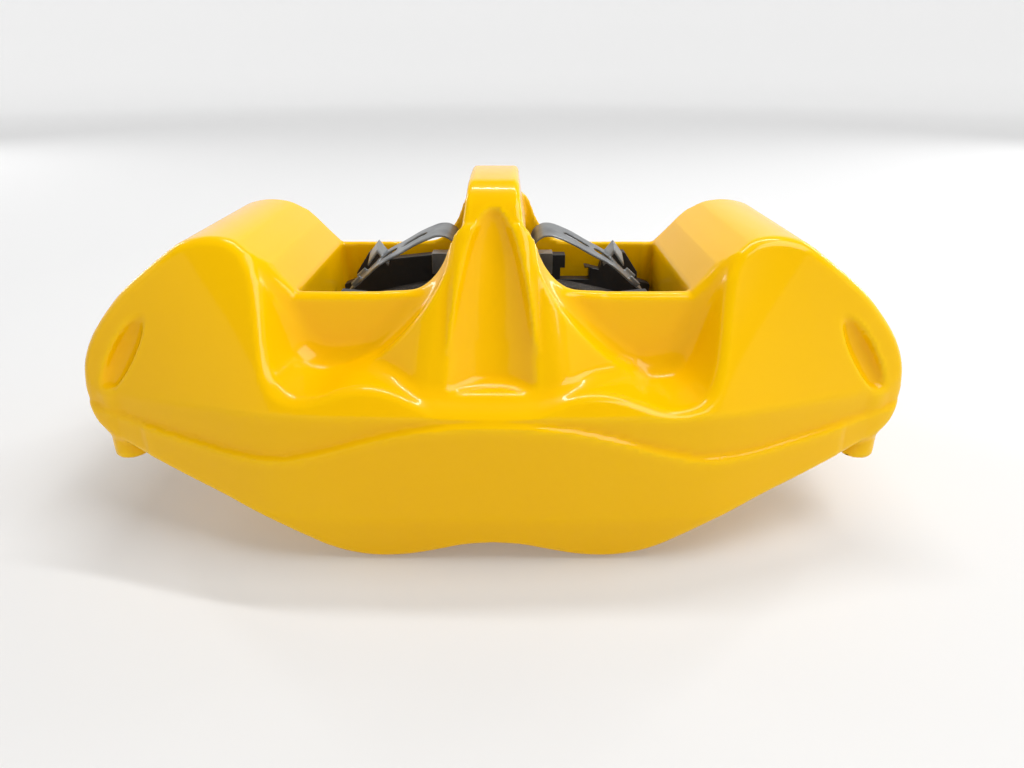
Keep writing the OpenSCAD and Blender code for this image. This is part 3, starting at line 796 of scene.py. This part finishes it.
shell_piece("spring_clamp_look", strap, (-7.8, -17.8, 7.2), (7.8, 17.8, 11.1), 0.45,
            ["spring_clamp"], "caliper", "stainless")
shell_piece("clamp_screws_look", strap_screws, (-4.4, -17.4, 4.3), (4.4, 17.4, 21.6), 0.4,
            ["clamp_screws"], "caliper", "screw_steel")


# ---- pads and small plates keep their CAD shape, with broken edges
def eased(node, slot, width):
    """CAD node with its edges broken by a small bevel."""
    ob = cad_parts[node]
    weld = ob.modifiers.new("weld", "WELD")
    weld.merge_threshold = 1e-6
    bevel = ob.modifiers.new("broken_edges", "BEVEL")
    bevel.width = width
    bevel.segments = 2
    bevel.limit_method = "ANGLE"
    bevel.angle_limit = math.radians(35)
    bevel.harden_normals = True
    ob.data.materials.clear()
    ob.data.materials.append(LOOKS[slot])


for side_name in ("outboard", "inboard"):
    eased(f"backing_plate_{side_name}", "plate_black", 0.0005)
    eased(f"friction_block_{side_name}", "friction", 0.0006)
    eased(f"shim_{side_name}", "stainless", 0.0001)
    for end_name in ("left", "right"):
        eased(f"pad_guide_{side_name}_{end_name}", "stainless", 0.00015)
eased("guide_screws", "screw_steel", 0.00015)

# ------------------------------------------------------------------ stage
def area_light(name, spot, aim, width, height, power):
    """White rectangular lamp turned towards a place."""
    lamp = bpy.data.lights.new(name, "AREA")
    lamp.shape = "RECTANGLE"
    lamp.size = width
    lamp.size_y = height
    lamp.energy = power
    ob = bpy.data.objects.new(name, lamp)
    bpy.context.scene.collection.objects.link(ob)
    ob.location = spot
    ob.rotation_euler = (Vector(aim) - Vector(spot)).to_track_quat("-Z", "Y").to_euler()


def stage():
    """Pale round floor that sweeps up into a low pale wall, with soft lights; the floor also glows as
    painted light, dimmer near the caliper and brighter out towards the wall.
    """
    floor_z = CAD_BOUNDS[0][2] - 0.0005
    line = [(0.0, 0.0), (0.6, 0.0), (1.6, 0.0), (2.6, 0.0)]
    line += [(2.6 + math.sin(math.radians(a)), 1 - math.cos(math.radians(a))) for a in range(10, 91, 10)]
    line += [(3.6, 2.9)]
    n = 96
    rad, hgt = np.array(line).T
    turn = np.arange(n) * 2 * math.pi / n
    v = np.stack([np.outer(rad, np.cos(turn)), np.outer(rad, np.sin(turn)),
                  np.repeat(hgt[:, None] + floor_z, n, 1)], -1)
    i, j = np.meshgrid(np.arange(len(line) - 1), np.arange(n), indexing="ij")
    k = (j + 1) % n
    quads = np.stack([i * n + j, (i + 1) * n + j, (i + 1) * n + k, i * n + k], -1).reshape(-1, 4)
    fl = mesh_object("floor", v.reshape(-1, 3), quads)
    mat, nt, b = node_material("floor_look")
    b.inputs["Base Color"].default_value = (0.62, 0.62, 0.62, 1)
    b.inputs["Roughness"].default_value = 0.9
    b.inputs["Specular IOR Level"].default_value = 0.1
    # painted light: the floor glows, its strength rising from 0.15 near the caliper to 0.5 at 3 m, so it
    # stays dim round the caliper and bright at the wall
    b.inputs["Emission Color"].default_value = (1, 1, 1, 1)
    length = nt.nodes.new("ShaderNodeVectorMath")
    length.operation = "LENGTH"
    nt.links.new(nt.nodes.new("ShaderNodeTexCoord").outputs["Object"], length.inputs[0])
    glow = nt.nodes.new("ShaderNodeMapRange")
    for key, val in (("From Min", 0.45), ("From Max", 3.0), ("To Min", 0.15), ("To Max", 0.5)):
        glow.inputs[key].default_value = val
    nt.links.new(length.outputs["Value"], glow.inputs["Value"])
    nt.links.new(glow.outputs["Result"], b.inputs["Emission Strength"])
    fl.data.materials.append(mat)
    world = bpy.data.worlds.new("soft_studio")
    bpy.context.scene.world = world
    world.use_nodes = True
    world.node_tree.nodes["Background"].inputs["Color"].default_value = (1, 1, 1, 1)
    world.node_tree.nodes["Background"].inputs["Strength"].default_value = 0.12
    middle = (0, -0.06, 0.04)
    area_light("overhead", (0.1, 0.40, 1.20), middle, 0.9, 0.06, 6.6)
    area_light("key", (0.62, -0.30, 1.20), middle, 0.9, 0.6, 11)
    area_light("right_edge", (1.15, 0.85, 0.6), middle, 0.08, 0.9, 5)
    area_light("left_edge", (-1.15, 0.85, 0.6), middle, 0.08, 0.9, 4)


stage()
cam = bpy.data.cameras.new("camera")
cam.lens = 26.0
cam.sensor_width = 36.0
cam.clip_start = 0.01
cam_ob = bpy.data.objects.new("camera", cam)
bpy.context.scene.collection.objects.link(cam_ob)
eye = Vector(to_row((6.5, -287.0, 75.6)))
fwd = Vector((0, 0.9135, -0.4067))      # down by 24 degrees
cam_ob.matrix_world = Matrix.Translation(eye) @ fwd.to_track_quat("-Z", "Y").to_matrix().to_4x4()
bpy.context.scene.camera = cam_ob
bpy.context.scene.view_settings.view_transform = "Standard"
